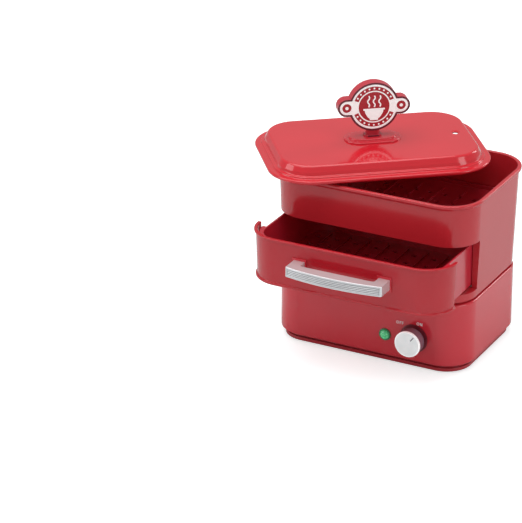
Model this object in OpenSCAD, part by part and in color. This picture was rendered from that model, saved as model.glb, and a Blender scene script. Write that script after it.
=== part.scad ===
// Table-top steamer for sausages and rolls. A heated base carries a housing with a pull-out
// sausage drawer and an open roll bin on top. A loose lid with an upright round knob plate
// lies askew on the rim. Millimetres, +Z up, front faces -Y.

/* [Base] */
// outer width of the heated base
base_w = 280; // [262:1:300]
// outer depth of the heated base
base_d = 196; // [186:1:212]
// plan radius of the body's upright corners
corner_r = 42; // [36:1:46]
// height of the base's top deck over the table
base_top = 98.5; // [92:0.5:106]
// wall of the base shell
base_wall = 3; // [2.4:0.1:3.6]
// height of the base shell's lower edge
skirt_z = 11; // [10:0.5:13]
// how far the plinth stands in from the base
plinth_inset = 6; // [5:0.5:8]

/* [Housing] */
// wall of the upper housing
house_wall = 2.6; // [2.2:0.1:3]
// how far the housing stands in from the base
house_inset = 1.5; // [1.2:0.1:2.5]
// outward lean of each housing wall from foot to rim
house_draft = 4.6; // [3.5:0.1:5.5]
// height of the housing from its foot to the rim
house_h = 141; // [137:1:150]
// height of the rolled rim band
rim_h = 6.5; // [5:0.5:8]
// how far the rim band stands out
rim_out = 3; // [2:0.5:4]
// height of the sill under the drawer
sill_h = 13.5; // [12:0.5:15]

/* [Drawer] */
// height of the drawer front
front_h = 66; // [63:1:68]
// gap over and under the drawer front
front_gap = 1.5; // [1:0.1:2]
// how far the drawer is pulled out
pulled = 72; // [40:1:90]
// thickness of the drawer front
front_t = 2.6; // [2.2:0.1:3.2]
// how far the front's top and bottom lips stand out
lip_out = 2.2; // [1.5:0.1:2.6]
// wall of the drawer box
box_wall = 2.4; // [2:0.1:3]
// length of the drawer box, front to back
box_len = 183; // [170:1:185]
// number of sausage lanes across the drawer
lanes = 9; // [6:1:10]

/* [Handle] */
// width of the drawer handle
handle_w = 137; // [110:1:150]
// height of the handle bar
handle_h = 14; // [12:1:20]
// how far the handle's middle stands in front of the drawer
handle_out = 32; // [29:1:38]
// how far the handle's front is bowed out
handle_bow = 7; // [4:0.5:9]
// thickness of the handle bar at its ends
handle_t = 11; // [9:0.5:12]

/* [Knob and lamp] */
// distance of the knob to the right of the middle
knob_x = 70.5; // [60:0.5:84]
// height of the knob's axis
knob_z = 44; // [40:0.5:50]
// radius of the knob's face
knob_r = 18; // [15:0.5:19]
// depth of the knob
knob_depth = 18; // [14:1:22]
// distance of the pilot lamp to the right of the middle
lamp_x = 29; // [20:0.5:34]
// height of the pilot lamp
lamp_z = 41; // [36:0.5:50]
// radius of the pilot lamp's bezel
lamp_r = 8.5; // [7:0.5:9]

/* [Lid] */
// width of the lid's flange
lid_w = 298; // [296:1:306]
// depth of the lid's flange
lid_d = 199; // [199:1:212]
// plan radius of the lid's corners
lid_r = 57; // [50:1:64]
// height of the lid from the flange's underside
lid_h = 19; // [16:0.5:23]
// how far the lid lies turned on the rim, in degrees
lid_turn = 38.3; // [0:0.1:45]
// how far the lid's middle lies to the left of the body's
lid_left = 47; // [0:1:50]
// how far the lid's middle lies behind the body's
lid_back = 14; // [0:1:16]
// radius of the steam vent in the lid
vent_r = 4; // [3:0.5:5]

/* [Topper] */
// radius of the round upright plate on the lid
plate_r = 33.5; // [28:0.5:36]
// thickness of the upright plate
plate_t = 15; // [12:1:18]
// overall width of the plate with its two side lobes
lobes_w = 97; // [90:1:102]
// height of the plate's centre over the lid's top
plate_up = 47; // [44:1:52]

/* [Hidden] */
$fn = 72;
// sub-parts of the assembly

// clearances
touch = 0.02;
air = 0.35;
// front plane of the body and the line where its corners start
front_y = -base_d / 2;
// housing
house_z0 = base_top + 1.5;
house_w = base_w - 2 * house_inset;
house_d = base_d - 2 * house_inset;
house_r = corner_r - house_inset;
rim_z = base_top + house_h;
lean_h = rim_z - house_z0;
sill_z = base_top + sill_h;
bay_top = sill_z + front_h + 2 * front_gap;
jamb_y = -house_d / 2 + house_r + 1;
ledge_t = 2.4;
// lean of the wall at a height
function lean(z) = house_draft * (z - house_z0) / lean_h;
// drawer
front_z0 = sill_z + front_gap;
front_z1 = front_z0 + front_h;
rail_t = 1.3;
runner_t = 2.2;
box_z0 = sill_z + rail_t + air + runner_t;
box_z1 = front_z1 - 5;
jamb_in = house_w / 2 - 7;
box_w = 2 * (jamb_in - 1);
box_front = -house_d / 2 + front_t + 0.6;
box_back = box_front + box_len;
box_r = house_r - front_t - 6;
floor_t = 2.4;
lane_w = (box_w - 2 * box_wall) / lanes;
rail_in = box_w / 2 - 14;
// lid
rib_h = 5;
rib_in = 10;
rib_t = 2.4;
lid_z = rim_z + 0.3 + rib_h;
lid_t = 2.6;
flange_t = 4;
plateau_in = 13;
plateau_lean = 4;
edge_c = 2;
vent_x = lid_w / 2 - 36;
boss_w = 76;
boss_d = 42;
step_h = 2.4;
boss_top = lid_h + 2 * step_h;
plate_z = lid_h + plate_up;
neck_w = 18;
neck_t = 9;
lobe_r = 12;
art_t = 1.2;
art_r = plate_r - 2.5;
// knob and switch
knob_y0 = front_y - 4;
knob_y1 = knob_y0 - knob_depth;
shaft_r = 3;
bush_r = 4.5;
// plinth and cover
cover_z = 1.2;
cover_t = 2.5;
cover_top = skirt_z + 2;
groove_in = plinth_inset + 3;
boss_x = base_w / 2 - 26;
boss_y = base_d / 2 - 26;
deck_t = 3;
deck_w = base_w - 2 * base_wall;
deck_d = base_d - 2 * base_wall;
deck_r = corner_r - base_wall;
flange_in = 5;
flange_z = 1.2;
// water pan
pan_w = 204;
pan_d = 122;
pan_r = 26;
pan_z = base_top - 26;
pan_t = 1.2;
plate_rad = 54;
heat_t = 5;
ring_r = 40;
ring_t = 3.2;
// row origin: the middle of the whole thing's box, on the table
lid_reach_x = (lid_w / 2 - lid_r) * cos(lid_turn) + (lid_d / 2 - lid_r) * sin(lid_turn) + lid_r;
lid_reach_y = (lid_w / 2 - lid_r) * sin(lid_turn) + (lid_d / 2 - lid_r) * cos(lid_turn) + lid_r;
rim_half_w = house_w / 2 + house_draft + rim_out;
rim_half_d = house_d / 2 + house_draft + rim_out;
low_x = min(-lid_left - lid_reach_x, -rim_half_w);
high_x = max(-lid_left + lid_reach_x, rim_half_w);
low_y = -house_d / 2 - lean(front_z1) - pulled - handle_out;
high_y = max(lid_back + lid_reach_y, rim_half_d);
shift_x = -(low_x + high_x) / 2;
shift_y = -(low_y + high_y) / 2;

// everything is drawn about the body's middle and moved to the row's origin
module in_frame() {
    translate([shift_x, shift_y, 0]) children();
}

// what rides with the drawer, drawn closed
module pulled_out() {
    in_frame() translate([0, -pulled, 0]) children();
}

// what rides with the lid, drawn with the flange's underside at zero
module on_rim() {
    in_frame() translate([-lid_left, lid_back, lid_z]) rotate([0, 0, lid_turn]) children();
}

// plan of a rounded rectangle
module plan(w, d, r) {
    union() {
        square([w - 2 * r, d], center = true);
        square([w, d - 2 * r], center = true);
        for (sx = [-1, 1])
            for (sy = [-1, 1])
                translate([sx * (w / 2 - r), sy * (d / 2 - r)]) circle(r);
    }
}

// upright rounded block
module block(w, d, r, z0, z1) {
    translate([0, 0, z0]) linear_extrude(z1 - z0) plan(w, d, r);
}

// rounded block whose walls lean out by g from bottom to top
module leaning(w, d, r, z0, z1, g) {
    h = z1 - z0;
    translate([0, 0, z0]) union() {
        for (sx = [-1, 1])
            for (sy = [-1, 1])
                translate([sx * (w / 2 - r), sy * (d / 2 - r), 0]) cylinder(h = h, r1 = r, r2 = r + g);
        translate([-(w / 2 - r), 0, 0]) rotate([90, 0, 90]) linear_extrude(w - 2 * r)
            polygon([[-d / 2, 0], [d / 2, 0], [d / 2 + g, h], [-d / 2 - g, h]]);
        translate([0, d / 2 - r, 0]) rotate([90, 0, 0]) linear_extrude(d - 2 * r)
            polygon([[-w / 2, 0], [w / 2, 0], [w / 2 + g, h], [-w / 2 - g, h]]);
    }
}

// round bar between two heights
module post(x, y, r, z0, z1) {
    translate([x, y, z0]) cylinder(h = z1 - z0, r = r);
}

// round bar along Y from the front plane y0 back to y1
module pin_y(x, z, r, y0, y1) {
    translate([x, y1, z]) rotate([90, 0, 0]) cylinder(h = y1 - y0, r = r);
}

// box by its two corners
module bar(x0, x1, y0, y1, z0, z1) {
    translate([x0, y0, z0]) cube([x1 - x0, y1 - y0, z1 - z0]);
}

// straight round wire between two points
module rod(a, b, r) {
    v = b - a;
    len_v = norm(v);
    translate(a) rotate([0, acos(v[2] / len_v), atan2(v[1], v[0])]) cylinder(h = len_v, r = r);
}

// bent wire through points
module wire(pts, r) {
    $fn = 24;
    union() {
        for (i = [0 : len(pts) - 2]) rod(pts[i], pts[i + 1], r);
        for (i = [1 : len(pts) - 2]) translate(pts[i]) sphere(r + 0.15);
    }
}

// places for the four bottom cover screws
module at_bosses() {
    for (sx = [-1, 1])
        for (sy = [-1, 1])
            translate([sx * boss_x, sy * boss_y, 0]) children();
}

// places for the four screws that hold the housing on the deck
house_sx = base_w / 2 - 44;
house_sy = base_d / 2 - 13;
module at_house_screws() {
    for (sx = [-1, 1])
        for (sy = [-1, 1])
            translate([sx * house_sx, sy * house_sy, 0]) children();
}

// Heated base

module base_shell() {
    color([0.68, 0.06, 0.09]) in_frame() difference() {
        union() {
            leaning(base_w - 2 * edge_c, base_d - 2 * edge_c, corner_r - edge_c, skirt_z, skirt_z + edge_c,
                edge_c);
            block(base_w, base_d, corner_r, skirt_z + edge_c, base_top - edge_c);
            leaning(base_w, base_d, corner_r, base_top - edge_c, base_top, -edge_c);
        }
        block(deck_w, deck_d, deck_r, skirt_z - 1, base_top - flange_z);
        block(deck_w - 2 * flange_in, deck_d - 2 * flange_in, deck_r - flange_in, skirt_z, base_top + 1);
        pin_y(knob_x, knob_z, bush_r + 0.1, front_y - 1, front_y + base_wall + 1);
        pin_y(lamp_x, lamp_z, lamp_r - 2.4, front_y - 1, front_y + base_wall + 1);
        pin_y(gland_x, gland_z, gland_r + 0.1, -front_y - base_wall - 1, -front_y + 1);
    }
}

// deck that holds the water pan, clamped under the shell's flange by the cover's screws
module base_deck() {
    step_in = flange_in + touch;
    color([0.6, 0.05, 0.08]) in_frame() difference() {
        union() {
            block(deck_w - 2 * touch, deck_d - 2 * touch, deck_r - touch, base_top - deck_t,
                base_top - flange_z - touch);
            block(deck_w - 2 * step_in, deck_d - 2 * step_in, deck_r - step_in, base_top - deck_t, base_top);
            at_bosses() cylinder_between(5, cover_z + cover_t + touch, base_top - deck_t + 1);
        }
        block(pan_w + 2, pan_d + 2, pan_r + 1, base_top - deck_t - 1, base_top + 1);
        at_bosses() cylinder_between(1.75, cover_z, cover_z + 22);
        at_house_screws() cylinder_between(2, base_top - deck_t - 1, base_top + 1);
    }
}

module cylinder_between(r, z0, z1) {
    translate([0, 0, z0]) cylinder(h = z1 - z0, r = r);
}

module bottom_cover() {
    in_w = base_w - 2 * groove_in;
    in_d = base_d - 2 * groove_in;
    in_r = corner_r - groove_in;
    color([0.5, 0.05, 0.07]) in_frame() difference() {
        union() {
            block(base_w - 2 * plinth_inset, base_d - 2 * plinth_inset, corner_r - plinth_inset, cover_z,
                cover_z + 4.5);
            block(in_w, in_d, in_r, cover_z + 4.5, cover_top);
        }
        block(in_w - 5, in_d - 5, in_r - 2.5, cover_z + cover_t, cover_top + 1);
        at_bosses() cylinder_between(1.95, cover_z - 1, cover_z + cover_t + 1);
        at_bosses() cylinder_between(4, cover_z - 1, cover_z + 1.3);
        at_feet() cylinder_between(2.6, cover_z - 1, cover_z + cover_t + 1);
        // air slots under the heater
        for (i = [-4 : 4]) translate([i * slot_w * 3, 0, cover_z - 1])
            linear_extrude(cover_t + 2) plan(slot_w, slot_len, slot_w / 2 - 0.1);
    }
}

foot_x = base_w / 2 - corner_r - 18;
foot_y = base_d / 2 - plinth_inset - 16;
slot_w = base_w / 70;
slot_len = pan_d / 2;
module at_feet() {
    for (sx = [-1, 1])
        for (sy = [-1, 1])
            translate([sx * foot_x, sy * foot_y, 0]) children();
}

module feet() {
    color([0.08, 0.08, 0.08]) in_frame() at_feet() union() {
        cylinder_between(9, 0, cover_z);
        cylinder_between(2.5, cover_z - 0.5, cover_z + cover_t + 0.3);
        cylinder_between(3.6, cover_z + cover_t + touch, cover_z + cover_t + 1.8);
    }
}

module cover_screws() {
    color([0.62, 0.62, 0.64]) in_frame() at_bosses() difference() {
        union() {
            cylinder_between(3.6, cover_z - 0.7, cover_z + 1.25);
            cylinder_between(1.65, cover_z, cover_z + 18);
        }
        translate([0, 0, cover_z - 0.7]) cube([4.4, 0.9, 1.4], center = true);
        translate([0, 0, cover_z - 0.7]) cube([0.9, 4.4, 1.4], center = true);
    }
}

gland_x = -88;
gland_z = 30;
gland_r = 7;
cord_r = 3.6;
module cord_gland() {
    back = -front_y;
    color([0.1, 0.1, 0.1]) in_frame() difference() {
        union() {
            pin_y(gland_x, gland_z, gland_r, back - base_wall - 5, back + 1);
            pin_y(gland_x, gland_z, gland_r + 2.5, back + touch, back + 3);
            pin_y(gland_x, gland_z, gland_r + 1.8, back - base_wall - 3, back - base_wall - touch);
        }
        pin_y(gland_x, gland_z, cord_r, back - base_wall - 6, back + 4);
    }
}

// Pilot lamp

module lamp_bezel() {
    color([0.15, 0.25, 0.17]) in_frame() difference() {
        union() {
            translate([lamp_x, front_y - touch, lamp_z]) rotate([90, 0, 0]) cylinder(h = 2, r1 = lamp_r,
                r2 = lamp_r - 0.8);
            pin_y(lamp_x, lamp_z, lamp_r - 2.5, front_y - 1, front_y + base_wall + 3);
        }
        pin_y(lamp_x, lamp_z, lamp_r - 3.4, front_y - 3, front_y + base_wall + 4);
    }
}

module lamp_lens() {
    lens_r = lamp_r - 1.4;
    color([0.1, 0.62, 0.28]) in_frame() union() {
        pin_y(lamp_x, lamp_z, lamp_r - 3.45, front_y - 2.2, front_y + base_wall + 1);
        translate([lamp_x, front_y - 2 - touch, lamp_z]) rotate([90, 0, 0]) cylinder(h = 1.5, r = lens_r);
        translate([lamp_x, front_y - 3.5, lamp_z]) rotate([90, 0, 0]) cylinder(h = 2.4, r1 = lens_r,
            r2 = lens_r - 3.2);
    }
}

module pilot_lamp() {
    y0 = front_y + base_wall + 1.4;
    color([0.85, 0.83, 0.75]) in_frame() union() {
        pin_y(lamp_x, lamp_z, lamp_r - 3.6, y0, y0 + 12);
        pin_y(lamp_x - 2, lamp_z, 0.8, y0 + 11, y0 + 18);
        pin_y(lamp_x + 2, lamp_z, 0.8, y0 + 11, y0 + 18);
    }
}

// Switch, knob and its marks

module dial_ring() {
    color([0.12, 0.1, 0.11]) in_frame() difference() {
        pin_y(knob_x, knob_z, knob_r + 1.6, front_y - 1, front_y - touch);
        pin_y(knob_x, knob_z, 9, front_y - 2, front_y + 1);
    }
}

// one printed stroke on the front panel
mark_t = 0.3;
module stroke(x0, x1, z0, z1) {
    bar(x0, x1, front_y - mark_t, front_y - touch, z0, z1);
}

// letter O on the front panel
module letter_o(x, z, h, s) {
    difference() {
        pin_y(x + h / 2, z + h / 2, h / 2, front_y - mark_t, front_y - touch);
        pin_y(x + h / 2, z + h / 2, h / 2 - s, front_y - 1, front_y + 1);
    }
}

// letter F on the front panel
module letter_f(x, z, h, s) {
    union() {
        stroke(x, x + s, z, z + h);
        stroke(x, x + 0.6 * h, z + h - s, z + h);
        stroke(x, x + 0.5 * h, z + 0.5 * h - s / 2, z + 0.5 * h + s / 2);
    }
}

// letter N on the front panel
module letter_n(x, z, h, s) {
    translate([0, front_y - touch, 0]) rotate([90, 0, 0]) linear_extrude(mark_t - touch) union() {
        translate([x, z]) square([s, h]);
        translate([x + 0.8 * h - s, z]) square([s, h]);
        translate([x, z]) polygon([[0, h], [1.4 * s, h], [0.8 * h, 0], [0.8 * h - 1.4 * s, 0]]);
    }
}

module dial_marks() {
    h = 4;
    s = 0.7;
    off_x = knob_x - 25.5;
    on_x = knob_x + 0.5;
    z = knob_z + 16.5;
    color([0.95, 0.9, 0.9]) in_frame() {
        letter_o(off_x, z, h, s);
        letter_f(off_x + h + 1, z, h, s);
        letter_f(off_x + 2 * h + 0.2, z, h, s);
        letter_o(on_x + 3, z + 3.5, h, s);
        letter_n(on_x + h + 4, z + 3.5, h, s);
    }
}

module switch_body() {
    y0 = front_y + base_wall + touch;
    color([0.16, 0.16, 0.17]) in_frame() difference() {
        union() {
            bar(knob_x - 13, knob_x + 13, y0, y0 + 20, knob_z - 13, knob_z + 13);
            pin_y(knob_x, knob_z, bush_r, front_y - 3.4, y0 + 1);
            for (s = [-1, 1]) bar(knob_x + s * 7 - 1.5, knob_x + s * 7 + 1.5, y0 + 19, y0 + 27,
                knob_z - 0.4, knob_z + 0.4);
        }
        pin_y(knob_x, knob_z, shaft_r + 0.08, front_y - 5, y0 + 10);
    }
}

module switch_nut() {
    color([0.7, 0.7, 0.72]) in_frame() difference() {
        translate([knob_x, front_y - touch, knob_z]) rotate([90, 0, 0]) cylinder(h = 2.4, r = 8, $fn = 6);
        pin_y(knob_x, knob_z, bush_r + 0.08, front_y - 4, front_y + 1);
    }
}

module knob_shaft() {
    color([0.75, 0.75, 0.77]) in_frame() pin_y(knob_x, knob_z, shaft_r, knob_y1 + 5, front_y + base_wall + 9);
}

module knob_skirt() {
    body_r = knob_r - 1;
    grips = 40;
    color([0.72, 0.66, 0.7]) in_frame() difference() {
        union() {
            pin_y(knob_x, knob_z, body_r, knob_y1 + 3.5, knob_y0);
            translate([knob_x, knob_y0 + 2.4, knob_z]) rotate([90, 0, 0]) cylinder(h = 2.4, r1 = body_r - 1.4,
                r2 = body_r);
        }
        // the hollow over the nut, and the bore on the shaft
        pin_y(knob_x, knob_z, 10, knob_y0 - 3.4, knob_y0 + 5);
        pin_y(knob_x, knob_z, shaft_r + 0.02, knob_y1 + 4.9, knob_y0 + 5);
        for (i = [0 : grips - 1])
            translate([knob_x, 0, knob_z]) rotate([0, i * 360 / grips, 0])
                translate([body_r + 0.25, (knob_y0 + knob_y1) / 2 + 1.6, 0]) rotate([90, 0, 0])
                    cylinder(h = knob_depth - 7, r = 0.6, center = true, $fn = 16);
    }
}

module knob_cap() {
    color([0.87, 0.88, 0.89]) in_frame() difference() {
        union() {
            pin_y(knob_x, knob_z, knob_r, knob_y1 + 1, knob_y1 + 3.5 - touch);
            translate([knob_x, knob_y1 + 1, knob_z]) rotate([90, 0, 0]) cylinder(h = 1, r1 = knob_r,
                r2 = knob_r - 1);
        }
        pin_y(knob_x, knob_z, knob_r - 2.2, knob_y1 - 1, knob_y1 + 0.6);
    }
}

// Water pan and heater

module water_pan() {
    color([0.78, 0.79, 0.8]) in_frame() difference() {
        union() {
            block(pan_w + 14, pan_d + 14, pan_r + 7, base_top + touch, base_top + 1);
            block(pan_w, pan_d, pan_r, pan_z, base_top + 0.5);
        }
        block(pan_w - 2 * pan_t, pan_d - 2 * pan_t, pan_r - pan_t, pan_z + pan_t, base_top + 2);
    }
}

module heater_plate() {
    color([0.66, 0.67, 0.68]) in_frame() difference() {
        cylinder_between(plate_rad, pan_z - heat_t, pan_z - touch);
        // seat of the heating ring
        translate([0, 0, pan_z - heat_t]) rotate_extrude() translate([ring_r, 0]) circle(ring_t + 0.05);
    }
}

module heating_ring() {
    color([0.3, 0.3, 0.31]) in_frame() union() {
        translate([0, 0, pan_z - heat_t]) rotate_extrude() translate([ring_r, 0]) circle(ring_t);
        for (s = [-1, 1])
            post(s * 6, ring_r, 2, pan_z - heat_t - 16, pan_z - heat_t - 1);
    }
}

module thermostat() {
    top = pan_z - heat_t - touch;
    color([0.82, 0.8, 0.76]) in_frame() union() {
        cylinder_between(9, top - 3, top);
        cylinder_between(7.5, top - 12, top - 2);
        for (s = [-1, 1]) bar(s * 4 - 1.5, s * 4 + 1.5, -0.4, 0.4, top - 18, top - 11);
    }
}

fuse_y = -24;
module thermal_fuse() {
    top = pan_z - heat_t - touch;
    color([0.9, 0.9, 0.86]) in_frame() union() {
        translate([-9, fuse_y, top - 3]) rotate([0, 90, 0]) cylinder(h = 18, r = 2.4);
        translate([-16, fuse_y, top - 3]) rotate([0, 90, 0]) cylinder(h = 32, r = 0.7);
        bar(-3, 3, fuse_y - 3, fuse_y + 3, top - 1, top);
    }
}

block_y = 62;
module terminal_block() {
    z0 = cover_z + cover_t + touch;
    color([0.9, 0.9, 0.85]) in_frame() difference() {
        bar(-60, -22, block_y, block_y + 16, z0, z0 + 14);
        for (i = [0 : 2]) translate([-53 + i * 12, block_y + 8, z0 + 3]) cylinder(h = 20, r = 2.4);
        for (i = [0 : 2]) pin_y(-53 + i * 12, z0 + 8, 1.7, block_y - 1, block_y + 17);
    }
}

module wiring() {
    wz = cover_z + cover_t + 8;
    yb = block_y + 2;
    pins_z = pan_z - heat_t - 16 - touch;
    tab_y = front_y + base_wall + 27 + 2 * touch;
    lead_y = front_y + base_wall + 19.4 + touch;
    left_x = knob_x - 7;
    right_x = knob_x + 7;
    color([0.75, 0.75, 0.2]) in_frame() {
        wire([[-53, yb, wz], [-53, 20, wz], [left_x, 20, wz], [left_x, tab_y + 4, wz],
            [left_x, tab_y + 4, knob_z], [left_x, tab_y, knob_z]], 1.4);
        wire([[-41, yb, wz], [-41, ring_r, wz], [-6, ring_r, wz], [-6, ring_r, pins_z]], 1.4);
        wire([[right_x, tab_y, knob_z], [right_x, tab_y + 8, knob_z], [right_x, tab_y + 8, 30],
            [right_x, ring_r, 30], [6, ring_r, 30], [6, ring_r, pins_z]], 1.4);
        wire([[lamp_x + 2, lead_y, lamp_z], [lamp_x + 2, lead_y + 16, lamp_z], [lamp_x + 2, lead_y + 16, 19],
            [lamp_x + 2, 30, 19], [-29, 30, 19], [-29, 30, wz], [-29, yb, wz]], 1.2);
        wire([[lamp_x - 2, lead_y, lamp_z], [lamp_x - 2, lead_y + 22, lamp_z], [right_x - 5, lead_y + 22, lamp_z],
            [right_x - 5, lead_y + 22, 30 + 3], [right_x - 5, lead_y + 28, 30 + 3]], 1.2);
    }
}

module steam_plate() {
    cols = 8;
    rows = 4;
    z0 = base_top + 1.1;
    color([0.72, 0.73, 0.74]) in_frame() difference() {
        union() {
            block(pan_w + 12, pan_d + 12, pan_r + 6, z0, z0 + 1.2);
            for (sx = [-1, 1])
                for (sy = [-1, 1])
                    post(sx * (pan_w / 2 - 12), sy * (pan_d / 2 - 12), 4, pan_z + pan_t + 0.1, z0 + 0.6);
        }
        for (i = [0 : cols - 1])
            for (j = [0 : rows - 1])
                translate([(i - (cols - 1) / 2) * 20, (j - (rows - 1) / 2) * 22, z0 - 1])
                    cylinder(h = 4, r = 4);
    }
}

// Housing

module housing() {
    iw = house_w - 2 * house_wall;
    id = house_d - 2 * house_wall;
    ir = house_r - house_wall;
    rim_lean = lean(rim_z - rim_h);
    root = 0.5;
    seat = 0.8;
    color([0.7, 0.06, 0.1]) in_frame() union() {
        difference() {
            union() {
                block(house_w - 4, house_d - 4, house_r - 2, base_top + touch, house_z0 + 1);
                leaning(house_w, house_d, house_r, house_z0, rim_z - 2, lean(rim_z - 2));
                leaning(house_w + 2 * (rim_lean - root), house_d + 2 * (rim_lean - root),
                    house_r + rim_lean - root, rim_z - rim_h - root, rim_z - rim_h + rim_out, rim_out + root);
                block(house_w + 2 * (rim_lean + rim_out), house_d + 2 * (rim_lean + rim_out),
                    house_r + rim_lean + rim_out, rim_z - rim_h + rim_out, rim_z - 1);
                leaning(house_w + 2 * (rim_lean + rim_out), house_d + 2 * (rim_lean + rim_out),
                    house_r + rim_lean + rim_out, rim_z - 1, rim_z, -1);
            }
            // roll bin, wider than the drawer bay by the seat of the bin's frame
            leaning(iw + 2 * lean(bay_top), id + 2 * lean(bay_top), ir + lean(bay_top), bay_top, rim_z + 1,
                lean(rim_z + 1) - lean(bay_top));
            // drawer bay
            leaning(iw + 2 * (lean(sill_z) - seat), id + 2 * (lean(sill_z) - seat), ir + lean(sill_z) - seat,
                sill_z, bay_top + 0.5, lean(bay_top + 0.5) - lean(sill_z));
            // steam opening through the sill's ledge
            block(iw - 28, id - 28, ir - 12, house_z0 - 3, sill_z + 1);
            // hollow under the ledge
            block(iw, id, ir, house_z0 - 3, sill_z - ledge_t);
            // open front, corners included
            bar(-base_w, base_w, -base_d, jamb_y, sill_z, bay_top);
        }
        // returns of the side walls beside the drawer
        difference() {
            leaning(house_w - 2 + 2 * lean(sill_z), house_d - 2, house_r - 1, sill_z - 1, bay_top - touch,
                lean(bay_top) - lean(sill_z));
            bar(-jamb_in, jamb_in, -base_d, base_d, sill_z - 2, bay_top + 2);
            bar(-base_w, base_w, -base_d, jamb_y, sill_z - 2, bay_top + 2);
            bar(-base_w, base_w, jamb_y + 2.6, base_d, sill_z - 2, bay_top + 2);
        }
        // bosses over the deck screws
        at_house_screws() difference() {
            cylinder_between(4.6, base_top + touch, sill_z - 1);
            cylinder_between(1.75, base_top - 1, sill_z - 2.2);
        }
    }
}

// frame in the housing that the roll tray lies on, with the steam opening
module bin_frame() {
    fw = house_w - 2 * house_wall;
    fd = house_d - 2 * house_wall;
    fr = house_r - house_wall;
    grow = lean(bay_top) - 2 * touch;
    color([0.6, 0.05, 0.08]) in_frame() difference() {
        block(fw + 2 * grow, fd + 2 * grow, fr + grow, bay_top, bay_top + ledge_t);
        block(fw - 30, fd - 30, fr - 12, bay_top - 1, bay_top + ledge_t + 1);
    }
}

module housing_screws() {
    color([0.62, 0.62, 0.64]) in_frame() at_house_screws() union() {
        cylinder_between(3.6, base_top - deck_t - 2, base_top - deck_t - touch);
        cylinder_between(1.65, base_top - deck_t - 1, base_top + 9);
    }
}

// one drawer rail, on the side s
module rail(s) {
    back_y = house_d / 2 - house_r + 6;
    x_in = rail_in - 2;
    x_out = house_w / 2 - house_wall - 1.5;
    color([0.86, 0.86, 0.84]) in_frame() difference() {
        bar(min(s * x_in, s * x_out), max(s * x_in, s * x_out), jamb_y + 4, back_y, sill_z + touch,
            sill_z + rail_t);
        for (y = [jamb_y + 16, back_y - 12]) post(s * (x_out - 5), y, 1.6, sill_z - 1, sill_z + 5);
    }
}

module rail_left() {
    rail(-1);
}

module rail_right() {
    rail(1);
}

// Roll bin

tray_z = bay_top + ledge_t + air;
module roll_tray() {
    tw = house_w - 2 * house_wall - 3 + 2 * lean(bay_top);
    td = house_d - 2 * house_wall - 3 + 2 * lean(bay_top);
    tr = house_r - house_wall - 1.5 + lean(bay_top);
    cols = 11;
    rows = 5;
    color([0.64, 0.06, 0.09]) in_frame() difference() {
        union() {
            block(tw, td, tr, tray_z, tray_z + 2);
            difference() {
                block(tw, td, tr, tray_z, tray_z + 7);
                block(tw - 4, td - 4, tr - 2, tray_z - 1, tray_z + 8);
            }
            for (i = [-3 : 3]) bar(i * 32 - 1.2, i * 32 + 1.2, -td / 2 + 20, td / 2 - 20, tray_z + 1, tray_z + 4);
        }
        for (i = [0 : cols - 1])
            for (j = [0 : rows - 1])
                translate([(i - (cols - 1) / 2) * 21.3, (j - (rows - 1) / 2) * 26, tray_z - 1])
                    cylinder(h = 8, r = 3.2, $fn = 24);
    }
}

// Sausage drawer

module drawer_front() {
    g0 = lean(front_z0);
    g1 = lean(front_z1);
    w = house_w + 2 * g0;
    d = house_d + 2 * g0;
    r = house_r + g0;
    lip = 3;
    cut_y = jamb_y - 0.6;
    color([0.68, 0.06, 0.09]) pulled_out() difference() {
        union() {
            leaning(w, d, r, front_z0, front_z1, g1 - g0);
            leaning(w, d, r, front_z0, front_z0 + 1, lip_out);
            block(w + 2 * lip_out, d + 2 * lip_out, r + lip_out, front_z0 + 1, front_z0 + lip);
            block(w + 2 * (g1 - g0 + lip_out), d + 2 * (g1 - g0 + lip_out), r + g1 - g0 + lip_out,
                front_z1 - lip, front_z1 - 1);
            leaning(w + 2 * (g1 - g0 + lip_out), d + 2 * (g1 - g0 + lip_out), r + g1 - g0 + lip_out,
                front_z1 - 1, front_z1, -1);
        }
        leaning(w - 2 * front_t, d - 2 * front_t, r - front_t, front_z0 - 1, front_z1 + 1, g1 - g0);
        bar(-base_w, base_w, cut_y, base_d, front_z0 - 1, front_z1 + 1);
        // holes for the handle screws
        for (s = [-1, 1]) pin_y(s * post_x, handle_z, 2.1, -base_d, -base_d / 4);
    }
}

module drawer_box() {
    mid_y = (box_front + box_back) / 2;
    hole_cols = lanes;
    hole_rows = 6;
    flange_w = house_w - 2 * front_t - 1.2 + 2 * lean(front_z0);
    flange_d = house_d - 2 * front_t - 1.2 + 2 * lean(front_z0);
    flange_r = house_r - front_t - 0.6;
    color([0.62, 0.06, 0.09]) pulled_out() difference() {
        union() {
            translate([0, mid_y, 0]) block(box_w, box_len, box_r, box_z0, box_z1);
            // flange that closes the gap to the curved front
            difference() {
                block(flange_w, flange_d, flange_r, box_z1 - 2.4, box_z1);
                bar(-base_w, base_w, jamb_y - 2, base_d, box_z1 - 4, box_z1 + 2);
            }
        }
        translate([0, mid_y, 0]) block(box_w - 2 * box_wall, box_len - 2 * box_wall, box_r - box_wall,
            box_z0 + floor_t, box_z1 + 1);
        // steam holes, one row for each sausage
        for (i = [0 : hole_cols - 1])
            for (j = [0 : hole_rows - 1])
                translate([(i - (hole_cols - 1) / 2) * lane_w, mid_y + (j - (hole_rows - 1) / 2) * 26, box_z0 - 1])
                    cylinder(h = 6, r = 3.4, $fn = 24);
        // holes for the handle screws
        for (s = [-1, 1]) pin_y(s * post_x, handle_z, 2.1, -base_d, box_front + box_wall + 1);
    }
}

module drawer_runners() {
    color([0.86, 0.86, 0.84]) pulled_out() union() {
        for (s = [-1, 1])
            bar(min(s * rail_in, s * (box_w / 2 - 3)), max(s * rail_in, s * (box_w / 2 - 3)),
                box_front + box_r + 6, box_back - box_r + 12, box_z0 - runner_t, box_z0 - touch);
    }
}

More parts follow.
